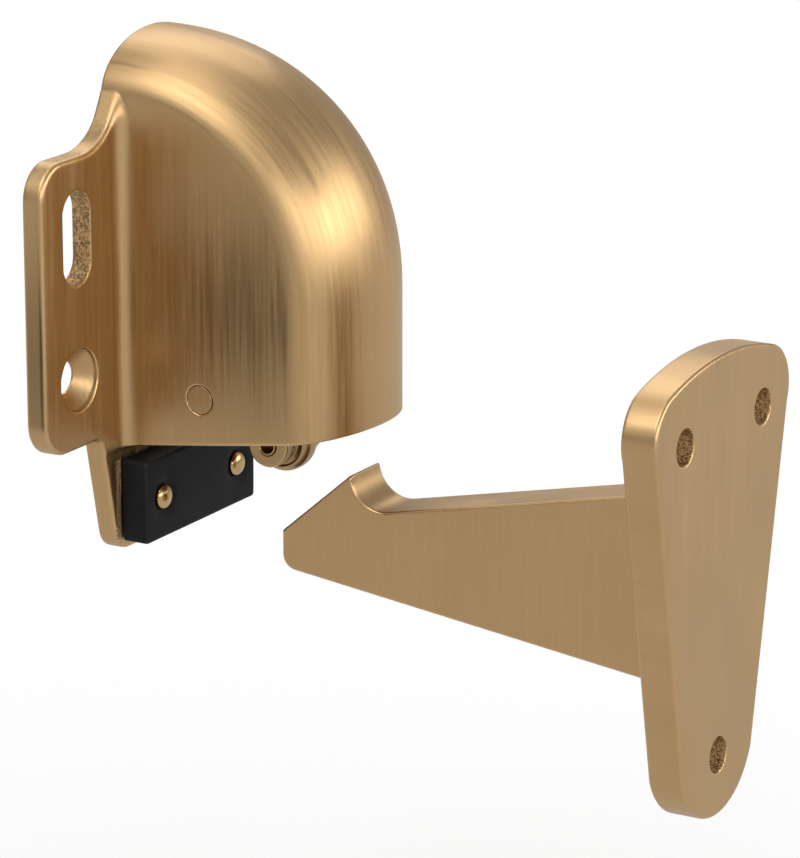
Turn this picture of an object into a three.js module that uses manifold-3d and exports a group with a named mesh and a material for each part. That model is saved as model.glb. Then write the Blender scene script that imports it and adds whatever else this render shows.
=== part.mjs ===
// Door holder: a sprung roller catch on the door, and a hooked strike on the wall that it rides over.
//
// Millimetres, +Z up. The origin is on the wall, at the back face of the strike's plate. +X points into
// the wall, so the door unit stands at -X, and the whole object is symmetric about Y = 0.
import * as THREE from "three";
import { mergeVertices } from "three/addons/utils/BufferGeometryUtils.js";
import Module from "manifold-3d";

const wasm = await Module();
wasm.setup();

// ---------------------------------------------------------------- driving dimensions

const GAP = 0.3; // clearance between neighbouring pieces

const DOOR_X = -123.2; // the door's face, at rest
const ROLLER_X = 29.5; // roller axle, in front of the door's face
const ROLLER_Z = 12.7;

const PLATE = {
  thickness: 7.3,
  edge: 0.8, // bevel round both faces
  shoulderY: 18.6, // the two upper corners are arcs about (+-shoulderY, shoulderZ)
  shoulderZ: 30.1,
  shoulderRadius: 9,
  crownZ: 41.8, // top of the shallow arch between them
  footZ: -31.7, // the bottom is an arc about (0, footZ)
  footRadius: 15.5,
};
const WALL_SCREW = { radius: 3.5, upperY: 16, upperZ: 28, lowerZ: -35.2 };

const ARM = {
  thickness: 11.3,
  tipX: -91.1,
  tipTopZ: -4.1,
  tipBottomZ: -12.1,
  tipRadius: 3,
  peakX: -75.8,
  peakZ: 9.2,
  notchX: -69.2, // the notch is an arc that fits the roller
  notchZ: 9.4,
  notchRadius: 6.6,
  topSlope: 12, // degrees, rising towards the plate
  rootBottomZ: -22.4,
};

const HOOD = {
  depth: 51.5,
  halfWidth: 17.8,
  springZ: 42.5, // height where the front starts to curve back
  rise: 48.3,
  backX: 0.3,
  crown: 11, // how far the middle stands proud of the flat sides
  exponent: 2.14, // superellipse, 2 would be a plain ellipse
  wall: 3.3,
  mouthZ: 11.1, // lower edge at the door's face
  mouthSlope: 0.143,
};
const FLANGE = {
  thickness: 4.3,
  halfWidth: 44.3,
  topZ: 71.2,
  bottomZ: 14.9,
  corner: 7,
  blend: 14, // concave arc from the flange's top up to the hood
  blendY: 31.07, // its centre
  blendEnd: 195, // degrees, where it meets the hood's outline
  fillet: 3,
};
const TONGUE = { topHalfWidth: 25.8, bottomHalfWidth: 21.3, bottomZ: -8.9, corner: 5 };
const CAVITY_FLOOR_Z = 16; // the back plate is solid below this height
const SLOT = { y: 32.75, bottomZ: 46.7, topZ: 64.9, halfWidth: 4.5 };
const DOOR_SCREW = { y: 32.75, z: 28.4, radius: 3.1, headRadius: 6.1, lip: 0.8 };

const GUIDE = { bottomZ: 18, topZ: 36, radius: 12, webHalf: 7 };
const SPRING_SEAT = { z: 74, radius: 7.5, spigotRadius: 3.6, spigotLength: 5 };
const CROSS_PIN = { x: 21.36, z: 23.25, radius: 2.75 };

const STROKE = 5; // how far the plunger can be pushed up
const PLUNGER = {
  radius: 8,
  shoulderZ: 17.2,
  topZ: 37.2,
  chamfer: 0.6,
  earHalfWidth: 6.7,
  earRadius: 4.35,
  slotHalfWidth: 3.8,
  slotTopZ: ROLLER_Z + 7.2,
};
const AXLE = { radius: 1.85, bore: 1.35, halfLength: 7 };
const ROLLER = { radius: 6.35, halfWidth: 2.45, edge: 1.6 };
const WASHER = { radius: 3.4, inner: 2.75, outer: 3.5 };
const SPRING = { coilRadius: 5, wireRadius: 0.7, turns: 9, closedTurns: 1 };

const BUMPER = { halfWidth: 19.5, bottomZ: -6.8, topZ: 9.6, frontX: 10.4, corner: 0.8, edge: 0.4 };
const RIVET = {
  y: 13.25,
  z: 1.35,
  shank: 1.6,
  headRadius: 2.45,
  headHeight: 1.5,
  dimpleRadius: 3.1,
  dimpleDepth: 0.9,
  tailRadius: 2.9,
  tailDepth: 1.3,
};

// ---------------------------------------------------------------- materials

const bronze = new THREE.MeshStandardMaterial({ color: 0xa5875f, roughness: 0.35, metalness: 1 });
const brass = new THREE.MeshStandardMaterial({ color: 0xc7a560, roughness: 0.3, metalness: 1 });
const steel = new THREE.MeshStandardMaterial({ color: 0x8f8f8c, roughness: 0.35, metalness: 1 });
const rubber = new THREE.MeshStandardMaterial({ color: 0x1c1c1d, roughness: 0.75, metalness: 0 });

// ---------------------------------------------------------------- solids

const AXES = {
  x: [[0, 1, 0], [0, 0, 1], [1, 0, 0]],
  y: [[1, 0, 0], [0, 0, 1], [0, -1, 0]],
  z: [[1, 0, 0], [0, 1, 0], [0, 0, 1]],
};

// Turns a geometry drawn in the XY plane along Z so that its depth runs along the named axis.
// Its drawing plane becomes YZ for axis x, and XZ for axis y, where the depth runs towards -Y.
function turn(geometry, axis) {
  const columns = AXES[axis].map((column) => new THREE.Vector3(...column));
  return geometry.applyMatrix4(new THREE.Matrix4().makeBasis(...columns));
}

function solid(geometry) {
  const bare = new THREE.BufferGeometry();
  bare.setAttribute("position", geometry.getAttribute("position").clone());
  if (geometry.index) bare.setIndex(geometry.index.clone());
  const merged = mergeVertices(bare, 1e-4);
  const vertProperties = new Float32Array(merged.attributes.position.array);
  const triVerts = new Uint32Array(merged.index.array);
  return new wasm.Manifold(new wasm.Mesh({ numProp: 3, vertProperties, triVerts }));
}

function join(first, ...others) {
  return others.reduce((sum, other) => sum.add(other), first);
}

function cut(first, ...others) {
  return others.reduce((rest, other) => rest.subtract(other), first);
}

function part(name, body, material) {
  const mesh = body.getMesh();
  const geometry = new THREE.BufferGeometry();
  const positions = [];
  for (let i = 0; i < mesh.numVert; i += 1) {
    positions.push(...mesh.vertProperties.slice(i * mesh.numProp, i * mesh.numProp + 3));
  }
  geometry.setAttribute("position", new THREE.Float32BufferAttribute(positions, 3));
  geometry.setIndex(Array.from(mesh.triVerts));
  const node = new THREE.Mesh(geometry, material);
  node.name = name;
  return node;
}

// A prism of a flat outline: drawn in (Y, Z), (X, Z) or (X, Y), from one place to another along axis.
function prism(points, axis, from, to, bevel = 0) {
  const shape = new THREE.Shape(points.map(([u, v]) => new THREE.Vector2(u, v)));
  const geometry = new THREE.ExtrudeGeometry(shape, {
    depth: to - from - 2 * bevel,
    bevelEnabled: bevel > 0,
    bevelThickness: bevel,
    bevelSize: bevel,
    bevelOffset: -bevel,
    bevelSegments: 2,
  });
  geometry.translate(0, 0, axis === "y" ? -to + bevel : from + bevel);
  return solid(turn(geometry, axis));
}

// A solid of revolution about an axis through centre. The profile is [radius, distance along axis].
function lathe(profile, axis, centre, segments = 40) {
  const points = profile.map(([radius, along]) => new THREE.Vector2(radius, along));
  const geometry = new THREE.LatheGeometry(points, segments).rotateX(Math.PI / 2);
  if (axis === "y") geometry.scale(1, 1, -1);
  turn(geometry, axis);
  if (axis === "y") geometry.index.array.reverse();
  geometry.translate(...centre);
  return solid(geometry);
}

// A cylinder or cone along an axis. Its ends are measured along that axis from centre.
function rod(axis, centre, from, to, radius, endRadius = radius, segments = 40) {
  return lathe([[0, from], [radius, from], [endRadius, to], [0, to]], axis, centre, segments);
}

function box(low, high) {
  const size = high.map((value, i) => value - low[i]);
  const middle = high.map((value, i) => (value + low[i]) / 2);
  return solid(new THREE.BoxGeometry(...size).translate(...middle));
}

// Points along an arc, angles in degrees.
function arc(u, v, radius, from, to, steps) {
  return Array.from({ length: steps + 1 }, (_, i) => {
    const angle = THREE.MathUtils.degToRad(from + ((to - from) * i) / steps);
    return [u + radius * Math.cos(angle), v + radius * Math.sin(angle)];
  });
}

// A closed outline whose corners [u, v, radius] are rounded, convex and concave ones alike.
function rounded(corners, steps = 6) {
  return corners.flatMap(([u, v, radius = 0], i) => {
    const here = new THREE.Vector2(u, v);
    if (radius === 0) return [[u, v]];
    const before = new THREE.Vector2(...corners.at(i - 1)).sub(here).normalize();
    const after = new THREE.Vector2(...corners[(i + 1) % corners.length]).sub(here).normalize();
    const half = Math.acos(THREE.MathUtils.clamp(before.dot(after), -1, 1)) / 2;
    const centre = before.clone().add(after).normalize().multiplyScalar(radius / Math.sin(half)).add(here);
    const start = here.clone().addScaledVector(before, radius / Math.tan(half)).sub(centre);
    const end = here.clone().addScaledVector(after, radius / Math.tan(half)).sub(centre);
    const turnBy = Math.atan2(start.cross(end), start.dot(end));
    return Array.from({ length: steps + 1 }, (_, k) => {
      const point = start.clone().rotateAround(new THREE.Vector2(), (turnBy * k) / steps).add(centre);
      return [point.x, point.y];
    });
  });
}

// Mirrors a half outline, drawn upwards at +Y, into a closed one.
function mirrored(half) {
  return [...half, ...half.map(([y, z, ...rest]) => [-y, z, ...rest]).reverse()];
}

// Skins closed rings that all have the same number of points, and caps the first and last.
function loft(rings) {
  const count = rings[0].length;
  const positions = rings.flat(2);
  const faces = [];
  for (let r = 0; r + 1 < rings.length; r += 1) {
    for (let i = 0; i < count; i += 1) {
      const a = r * count + i;
      const b = r * count + ((i + 1) % count);
      faces.push(a, b, b + count, a, b + count, a + count);
    }
  }
  const flat = rings[0].map(([x, , z]) => new THREE.Vector2(x, z));
  const last = (rings.length - 1) * count;
  for (const [a, b, c] of THREE.ShapeUtils.triangulateShape(flat, [])) {
    faces.push(a, c, b, last + a, last + b, last + c);
  }
  const geometry = new THREE.BufferGeometry();
  geometry.setAttribute("position", new THREE.Float32BufferAttribute(positions, 3));
  geometry.setIndex(faces);
  const body = solid(geometry);
  if (body.volume() > 0) return body;
  geometry.setIndex(faces.reverse());
  return solid(geometry);
}

// ---------------------------------------------------------------- strike

function plateOutline() {
  const { shoulderY, shoulderZ, shoulderRadius, crownZ, footZ, footRadius } = PLATE;
  const reach = Math.hypot(shoulderY, shoulderZ - footZ);
  const lean = Math.atan2(shoulderY, shoulderZ - footZ) + Math.asin((footRadius - shoulderRadius) / reach);
  const side = -THREE.MathUtils.radToDeg(lean);
  const crownRadius =
    (shoulderY ** 2 + (crownZ - shoulderZ) ** 2 - shoulderRadius ** 2) / (2 * (crownZ - shoulderZ - shoulderRadius));
  const crownCentre = crownZ - crownRadius;
  const crownEdge = THREE.MathUtils.radToDeg(Math.atan2(shoulderZ - crownCentre, shoulderY));
  const half = [
    ...arc(0, footZ, footRadius, -90, side, 10),
    ...arc(shoulderY, shoulderZ, shoulderRadius, side, crownEdge, 8),
    ...arc(0, crownCentre, crownRadius, crownEdge, 90, 5),
  ];
  const inner = half.slice(1, -1).map(([y, z]) => [-y, z]);
  return [...half, ...inner.reverse()];
}

function armOutline() {
  const { tipX, tipTopZ, tipBottomZ, tipRadius, peakX, peakZ, notchX, notchZ, notchRadius, topSlope } = ARM;
  const slope = THREE.MathUtils.degToRad(topSlope);
  const notch = arc(notchX, notchZ, notchRadius, -180, topSlope - 90, 12);
  const [lowX, lowZ] = notch.at(-1);
  const rootX = -PLATE.thickness / 2;
  const bottomSlope = (ARM.rootBottomZ - tipBottomZ) / (-PLATE.thickness - tipX);
  const outline = rounded([
    [tipX, tipTopZ, 0.5],
    [tipX, tipBottomZ, tipRadius],
    [rootX, tipBottomZ + bottomSlope * (rootX - tipX)],
    [rootX, lowZ + Math.tan(slope) * (rootX - lowX)],
  ]);
  return [...outline, ...notch.reverse(), [peakX, peakZ]];
}

function makeStrike() {
  const half = ARM.thickness / 2;
  const plate = prism(plateOutline(), "x", -PLATE.thickness, 0, PLATE.edge);
  const arm = prism(armOutline(), "y", -half, half);
  const holes = [
    [-WALL_SCREW.upperY, WALL_SCREW.upperZ],
    [WALL_SCREW.upperY, WALL_SCREW.upperZ],
    [0, WALL_SCREW.lowerZ],
  ].map(([y, z]) => rod("x", [0, y, z], -PLATE.thickness - 1, 1, WALL_SCREW.radius));
  return part("strike", cut(join(plate, arm), ...holes), bronze);
}

// ---------------------------------------------------------------- housing, in the door's own frame

// One upright section of the hood: its outline in XZ at the lateral place Y, drawn inwards by inset.
function hoodSection(y, inset, wall, foot) {
  const reach = HOOD.depth - wall - inset - HOOD.backX;
  const rise = HOOD.rise - wall - inset;
  const steps = 18;
  const arch = Array.from({ length: steps + 1 }, (_, i) => {
    const angle = (Math.PI / 2) * (i / steps);
    const across = Math.max(Math.cos(angle), 0) ** (2 / HOOD.exponent);
    const up = Math.sin(angle) ** (2 / HOOD.exponent);
    return [HOOD.backX + reach * across, HOOD.springZ + rise * up];
  });
  return [...foot(arch[0][0]), ...arch].concat([[foot(0)[0][0], HOOD.springZ + rise]]).map(([x, z]) => [x, y, z]);
}

// The hood as a solid. Its sections are closest where it turns into the flat sides.
function hoodLoft(wall, foot) {
  const halfWidth = HOOD.halfWidth - wall;
  const steps = 16;
  const rings = Array.from({ length: steps + 1 }, (_, i) => {
    const angle = Math.PI * (i / steps - 0.5);
    return hoodSection(halfWidth * Math.sin(angle), HOOD.crown * (1 - Math.cos(angle)), wall, foot);
  });
  return loft(rings);
}

function hoodOuter() {
  const mouth = (x) => HOOD.mouthZ + HOOD.mouthSlope * x;
  return hoodLoft(0, (front) => [[0, mouth(0)], [front, mouth(front)]]);
}

function hoodCavity() {
  const step = FLANGE.thickness;
  const below = BUMPER.bottomZ;
  return hoodLoft(HOOD.wall, (front) => [
    [-step, CAVITY_FLOOR_Z],
    [step, CAVITY_FLOOR_Z],
    [step, below],
    [front, below],
  ]);
}

function backPlate() {
  const { topZ, blend, blendY, blendEnd } = FLANGE;
  const half = [
    [TONGUE.bottomHalfWidth, TONGUE.bottomZ, TONGUE.corner],
    [TONGUE.topHalfWidth, FLANGE.bottomZ, 2],
    [FLANGE.halfWidth, FLANGE.bottomZ, FLANGE.corner],
    [FLANGE.halfWidth, topZ, FLANGE.corner],
    ...arc(blendY, topZ + blend, blend, 270, blendEnd, 8),
  ];
  return prism(rounded(mirrored(half)), "x", 0, FLANGE.thickness);
}

// The concave fillet between a flange and the hood's side, on the side given by sign.
function sideFillet(sign) {
  const { thickness, fillet, topZ, bottomZ } = FLANGE;
  const hollow = arc(thickness + fillet, HOOD.halfWidth + fillet, fillet, 180, 270, 6);
  const bite = 0.5; // how far it reaches into both walls
  const profile = [
    [thickness - bite, HOOD.halfWidth + fillet],
    ...hollow,
    [thickness + fillet, HOOD.halfWidth - bite],
    [thickness - bite, HOOD.halfWidth - bite],
  ].map(([x, y]) => [x, sign * y]);
  return prism(sign > 0 ? profile.reverse() : profile, "z", bottomZ - 2.4, topZ + 5);
}

function slotCut(sign) {
  const { y, bottomZ, topZ, halfWidth } = SLOT;
  const outline = [
    ...arc(sign * y, topZ - halfWidth, halfWidth, 0, 180, 12),
    ...arc(sign * y, bottomZ + halfWidth, halfWidth, 180, 360, 12),
  ];
  return prism(outline, "x", -1, FLANGE.thickness + 1);
}

function doorScrewCut(sign) {
  const { y, z, radius, headRadius, lip } = DOOR_SCREW;
  const face = FLANGE.thickness;
  const coneFoot = face - lip - (headRadius - radius);
  const profile = [
    [0, -1],
    [radius, -1],
    [radius, coneFoot],
    [headRadius, face - lip],
    [headRadius, face + 1],
    [0, face + 1],
  ];
  return lathe(profile, "x", [0, sign * y, z]);
}

function rivetHoleCut(sign) {
  const { y, z, shank, tailRadius, tailDepth } = RIVET;
  const hole = shank + GAP;
  const sink = tailDepth + GAP;
  const profile = [
    [0, -1],
    [tailRadius + GAP, -1],
    [tailRadius + GAP, 0],
    [hole, sink],
    [hole, FLANGE.thickness + 1],
    [0, FLANGE.thickness + 1],
  ];
  return lathe(profile, "x", [0, sign * y, z], 28);
}

function makeHousing() {
  const outer = hoodOuter();
  const { bottomZ, topZ, radius, webHalf } = GUIDE;
  const guide = join(
    rod("z", [ROLLER_X, 0, 0], bottomZ, topZ, radius, radius, 48),
    box([ROLLER_X - webHalf, -HOOD.halfWidth, bottomZ], [ROLLER_X + webHalf, HOOD.halfWidth, topZ]),
    rod("z", [ROLLER_X, 0, 0], SPRING_SEAT.z, HOOD.springZ + HOOD.rise, SPRING_SEAT.radius),
  ).intersect(outer);
  const spigot = rod(
    "z",
    [ROLLER_X, 0, 0],
    SPRING_SEAT.z - SPRING_SEAT.spigotLength,
    SPRING_SEAT.z + 1,
    SPRING_SEAT.spigotRadius,
    SPRING_SEAT.spigotRadius,
    28,
  );
  const shell = cut(join(outer, backPlate(), sideFillet(1), sideFillet(-1)), hoodCavity());
  const bore = rod("z", [ROLLER_X, 0, 0], bottomZ - 1, topZ + 1, PLUNGER.radius + GAP, PLUNGER.radius + GAP, 48);
  const pinHole = rod(
    "y",
    [CROSS_PIN.x, 0, CROSS_PIN.z],
    -HOOD.halfWidth - 1,
    HOOD.halfWidth + 1,
    CROSS_PIN.radius + GAP,
  );
  const perFlange = [1, -1].flatMap((sign) => [slotCut(sign), doorScrewCut(sign), rivetHoleCut(sign)]);
  return part("housing", cut(join(shell, guide, spigot), bore, pinHole, ...perFlange), bronze);
}

// ---------------------------------------------------------------- bumper and its rivets

function makeBumper() {
  const { halfWidth, bottomZ, topZ, frontX, corner, edge } = BUMPER;
  const outline = rounded(mirrored([[halfWidth, bottomZ, corner], [halfWidth, topZ, corner]]), 3);
  const block = prism(outline, "x", FLANGE.thickness + GAP, frontX, edge);
  const cuts = [1, -1].flatMap((sign) => {
    const centre = [0, sign * RIVET.y, RIVET.z];
    const dimple = frontX - RIVET.dimpleDepth;
    return [
      rod("x", centre, 0, frontX + 1, RIVET.shank + GAP, RIVET.shank + GAP, 28),
      rod("x", centre, dimple, frontX + 1, RIVET.dimpleRadius, RIVET.dimpleRadius + 0.5, 28),
    ];
  });
  return part("bumper", cut(block, ...cuts), rubber);
}

function makeRivet(name, sign) {
  const { y, z, shank, headRadius, headHeight, tailRadius, tailDepth } = RIVET;
  const seat = BUMPER.frontX - RIVET.dimpleDepth + GAP;
  const dome = arc(0, 0, 1, 0, 90, 6).map(([r, up]) => [headRadius * r, seat + headHeight * up]);
  const profile = [[0, 0.1], [tailRadius, 0.1], [shank, tailDepth], [shank, seat], ...dome];
  profile.at(-1)[0] = 0;
  return part(name, lathe(profile, "x", [0, sign * y, z], 24), brass);
}

// ---------------------------------------------------------------- plunger, roller and spring

function makePlunger() {
  const { radius, shoulderZ, topZ, chamfer, earHalfWidth, earRadius, slotHalfWidth, slotTopZ } = PLUNGER;
  const { spigotRadius, spigotLength } = SPRING_SEAT;
  const profile = [
    [0, shoulderZ],
    [radius - chamfer, shoulderZ],
    [radius, shoulderZ + chamfer],
    [radius, topZ - chamfer],
    [radius - chamfer, topZ],
    [spigotRadius, topZ],
    [spigotRadius, topZ + spigotLength - chamfer],
    [spigotRadius - chamfer, topZ + spigotLength],
    [0, topZ + spigotLength],
  ];
  const axle = [ROLLER_X, 0, ROLLER_Z];
  const bar = lathe(profile, "z", [ROLLER_X, 0, 0], 48);
  const neck = box(
    [ROLLER_X - earRadius, -earHalfWidth, ROLLER_Z],
    [ROLLER_X + earRadius, earHalfWidth, shoulderZ + 1],
  );
  const tip = rod("y", axle, -earHalfWidth, earHalfWidth, earRadius, earRadius, 48);
  const slot = box(
    [ROLLER_X - radius - 1, -slotHalfWidth, ROLLER_Z - earRadius - 1],
    [ROLLER_X + radius + 1, slotHalfWidth, slotTopZ],
  );
  const axleHole = rod("y", axle, -radius, radius, AXLE.radius + GAP, AXLE.radius + GAP, 28);
  const flat = box(
    [ROLLER_X - radius - 1, -radius - 1, CROSS_PIN.z - CROSS_PIN.radius - GAP - STROKE],
    [CROSS_PIN.x + CROSS_PIN.radius + GAP, radius + 1, CROSS_PIN.z + CROSS_PIN.radius + GAP],
  );
  return part("plunger", cut(join(bar, neck, tip), slot, axleHole, flat), brass);
}

function makeRoller() {
  const { radius, halfWidth, edge } = ROLLER;
  const bore = AXLE.radius + GAP;
  const outerEdge = arc(radius - edge, halfWidth - edge, edge, 90, 0, 4);
  const innerEdge = arc(radius - edge, edge - halfWidth, edge, 0, -90, 4);
  const profile = [[bore, halfWidth], ...outerEdge, ...innerEdge, [bore, -halfWidth], [bore, halfWidth]];
  return part("roller", lathe(profile.reverse(), "y", [ROLLER_X, 0, ROLLER_Z], 48), bronze);
}

function ring(name, inner, outer, from, to, material) {
  const profile = [[inner, from], [outer, from], [outer, to], [inner, to], [inner, from]];
  return part(name, lathe(profile, "y", [ROLLER_X, 0, ROLLER_Z], 32), material);
}

class CoilCurve extends THREE.Curve {
  constructor(low, high) {
    super();
    this.low = low;
    this.high = high;
  }

  // The first and last turns lie flat against the seats, and the turns between share the height.
  getPoint(t) {
    const { coilRadius, wireRadius, turns, closedTurns } = SPRING;
    const turn = t * turns;
    const closedPitch = 2 * wireRadius + 0.1;
    const openPitch = (this.high - this.low - 2 * closedTurns * closedPitch) / (turns - 2 * closedTurns);
    const start = Math.min(turn, closedTurns) * closedPitch;
    const middle = THREE.MathUtils.clamp(turn - closedTurns, 0, turns - 2 * closedTurns) * openPitch;
    const end = Math.max(turn - turns + closedTurns, 0) * closedPitch;
    const angle = 2 * Math.PI * turn;
    const height = this.low + start + middle + end;
    return new THREE.Vector3(ROLLER_X + coilRadius * Math.cos(angle), coilRadius * Math.sin(angle), height);
  }
}

function makeSpring() {
  const { wireRadius, turns } = SPRING;
  const low = PLUNGER.topZ + GAP + wireRadius;
  const high = SPRING_SEAT.z - GAP - wireRadius;
  const section = new THREE.Shape(arc(0, 0, wireRadius, 0, 315, 7).map(([u, v]) => new THREE.Vector2(u, v)));
  const geometry = new THREE.ExtrudeGeometry(section, {
    steps: turns * 14,
    extrudePath: new CoilCurve(low, high),
  });
  return part("plunger_spring", solid(geometry), steel);
}

// ---------------------------------------------------------------- assembly

const doorUnit = new THREE.Group();
doorUnit.position.x = DOOR_X;
doorUnit.add(
  makeHousing(),
  makeBumper(),
  makeRivet("bumper_rivet_near", -1),
  makeRivet("bumper_rivet_far", 1),
  part(
    "cross_pin",
    rod("y", [CROSS_PIN.x, 0, CROSS_PIN.z], 0.05 - HOOD.halfWidth, HOOD.halfWidth - 0.05, CROSS_PIN.radius),
    bronze,
  ),
  makePlunger(),
  makeSpring(),
  makeRoller(),
  ring("roller_axle", AXLE.bore, AXLE.radius, -AXLE.halfLength, AXLE.halfLength, brass),
  ring("roller_washer_near", AXLE.radius + GAP, WASHER.radius, -WASHER.outer, -WASHER.inner, steel),
  ring("roller_washer_far", AXLE.radius + GAP, WASHER.radius, WASHER.inner, WASHER.outer, steel),
);

const doorHolder = new THREE.Group();
doorHolder.add(makeStrike(), doorUnit);

export default doorHolder;
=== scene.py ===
"""Door holder: the fine visual model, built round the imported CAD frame.

Shapes are drawn in millimetres, as distance fields or turned profiles, and meshed in metres.
The door unit's shapes measure x from the door, and DOOR_X is added as they are meshed.
"""

import math

import bmesh
import bpy
import numpy as np
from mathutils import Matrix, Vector


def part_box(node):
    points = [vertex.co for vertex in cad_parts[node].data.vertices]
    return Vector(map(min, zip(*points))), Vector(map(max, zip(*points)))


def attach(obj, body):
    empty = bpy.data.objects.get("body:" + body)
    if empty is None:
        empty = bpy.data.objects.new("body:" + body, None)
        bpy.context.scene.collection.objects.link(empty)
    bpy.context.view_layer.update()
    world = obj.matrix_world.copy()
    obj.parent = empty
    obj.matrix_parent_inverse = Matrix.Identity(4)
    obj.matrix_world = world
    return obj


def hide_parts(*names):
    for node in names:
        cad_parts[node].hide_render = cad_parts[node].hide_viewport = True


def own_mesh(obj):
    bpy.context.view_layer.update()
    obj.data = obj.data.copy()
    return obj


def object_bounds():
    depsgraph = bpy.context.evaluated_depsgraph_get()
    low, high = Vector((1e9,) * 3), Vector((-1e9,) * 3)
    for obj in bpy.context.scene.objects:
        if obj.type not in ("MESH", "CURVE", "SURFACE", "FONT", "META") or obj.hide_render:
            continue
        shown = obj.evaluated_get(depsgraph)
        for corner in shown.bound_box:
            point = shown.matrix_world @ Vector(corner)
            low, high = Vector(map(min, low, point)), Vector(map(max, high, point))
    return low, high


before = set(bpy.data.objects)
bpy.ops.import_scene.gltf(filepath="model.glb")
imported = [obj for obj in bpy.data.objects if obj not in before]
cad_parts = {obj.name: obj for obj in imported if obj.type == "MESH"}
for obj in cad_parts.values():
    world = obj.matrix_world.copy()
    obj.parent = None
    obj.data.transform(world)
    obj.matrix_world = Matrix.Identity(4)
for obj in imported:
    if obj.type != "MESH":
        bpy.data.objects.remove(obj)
CAD_LOW, CAD_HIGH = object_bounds()
MM = 0.001

# ---------------------------------------------------------------- places, read from the frame, in mm


def centre(node):
    low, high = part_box(node)
    return [1000 * (a + b) / 2 for a, b in zip(low, high)]


DOOR_X = 1000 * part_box("housing")[0][0]
ROLLER_X, _, ROLLER_Z = centre("roller")
ROLLER_X -= DOOR_X
AXLE_PLACE = [DOOR_X + ROLLER_X, 0, ROLLER_Z]
PIN_X, _, PIN_Z = centre("cross_pin")
PIN_X -= DOOR_X
RIVET_Y, RIVET_Z = centre("bumper_rivet_far")[1:]
SPRING_LOW = 1000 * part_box("plunger_spring")[0][2]
SPRING_HIGH = 1000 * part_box("plunger_spring")[1][2]

# ---------------------------------------------------------------- shape sizes, in mm

CELL = 0.5  # mesh size of the castings
TIGHT = 0.8  # curvature, in 1/mm, above which a casting's faces are split

# Hood: reach from the door, half width, height where the arch starts, and its rise
HOOD_DEPTH, HOOD_HALF, HOOD_SPRING, HOOD_RISE = 51.5, 17.8, 42.5, 48.3
# Hood: start of the arch off the door, width of the rounded crown, power of the arch's curve, and wall
HOOD_BACK, HOOD_CROWN, HOOD_POWER, HOOD_WALL = 0.3, 11.0, 2.14, 3.3
MOUTH_Z, MOUTH_SLOPE = 11.1, 0.143  # underside of the hood, higher towards the front
PLATE_T = 4.3
FLANGE_HALF, FLANGE_TOP, FLANGE_BOTTOM, FLANGE_CORNER = 44.3, 71.2, 14.9, 7.0
FLANGE_BLEND, FILLET = 12.5, 3.0  # neck between flange and hood, and the fillet beside the hood
NECK_LOW, NECK_Z, NECK_SPAN = 30.0, 77.0, 13.0  # its foot, and where it starts to draw in behind the hood
FLARE_Z, FLARE_SPAN, FLARE_LOSS = 76.0, 7.0, 0.93  # where the fillet runs out, and how much of it
TONGUE = [(-25.8, 16.9), (25.8, 16.9), (21.3, -8.9), (-21.3, -8.9)]
TONGUE_CORNER = 5.0
CAVITY_FLOOR = 16.0
SLOT_Y, SLOT_Z, SLOT_REACH, SLOT_HALF = 32.75, 55.8, 4.6, 4.5
SCREW_Z, SCREW_R, SCREW_HEAD, SCREW_LIP = 28.4, 3.1, 6.1, 0.8
GUIDE_LOW, GUIDE_HIGH, GUIDE_R, GUIDE_WEB = 18.0, 36.0, 12.0, 7.0  # the bridge that guides the plunger
GUIDE_INSET = 2.0  # how far inside the hood's outer face the bridge and the spring's seat end
SEAT_Z, SEAT_R, SPIGOT_R, SPIGOT_L = 74.0, 7.5, 3.6, 5.0  # the spring's upper seat
PIN_R, PIN_GAP, PIN_EDGE = 2.75, 0.09, 0.04
RUNNING_GAP = 0.3  # round the plunger and its cross pin
RIVET_BORE = 1.9
# Housing: radii of edges and hollow corners
PLATE_EDGE, BACK_EDGE, MOUTH_EDGE, HOLE_EDGE, BROKEN_EDGE = 1.0, 0.4, 0.5, 0.3, 0.2
TONGUE_BLEND, CAVITY_CORNER, SUPPORT_FILLET, SPIGOT_EDGE = 2.0, 0.8, 1.2, 0.6

PLUNGER_R, PLUNGER_LOW, PLUNGER_TOP, STROKE = 8.0, 17.2, 37.2, 5.0
EAR_R, EAR_HALF, EAR_RISE, FORK_HALF, FORK_TOP = 4.35, 6.7, 8.0, 3.8, 7.2
BAR_EDGE, EAR_EDGE, EAR_BLEND, FORK_CORNER, FORK_EDGE = 0.5, 0.35, 0.8, 1.0, 0.2
AXLE_R, AXLE_BORE, AXLE_HALF = 1.85, 1.35, 7.0
ROLLER_R, ROLLER_HALF, ROLLER_BORE, RECESS = 6.35, 2.45, 2.16, 0.45
WASHER_R, WASHER_BORE, WASHER_HALF, WASHER_Y = 3.4, 2.15, 0.37, 3.125
COIL_R, WIRE_R, COIL_TURNS, WIRE_GROUND = 5.0, 0.7, 9, 0.25

BUMPER_HALF, BUMPER_LOW, BUMPER_TOP, BUMPER_FRONT = 19.5, -6.8, 9.6, 10.4
BUMPER_CORNER, BUMPER_EDGE, BUMPER_CROWN = 0.7, 0.6, 0.12
DIMPLE, DIMPLE_R, DISH, DISH_R = 0.9, 3.0, 0.12, 6.0  # pulled in close round each rivet, and more widely
RIVET_SEAT, RIVET_HEAD, RIVET_DOME, RIVET_SHANK, RIVET_TAIL = 9.8, 2.45, 1.38, 1.55, 2.47

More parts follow.
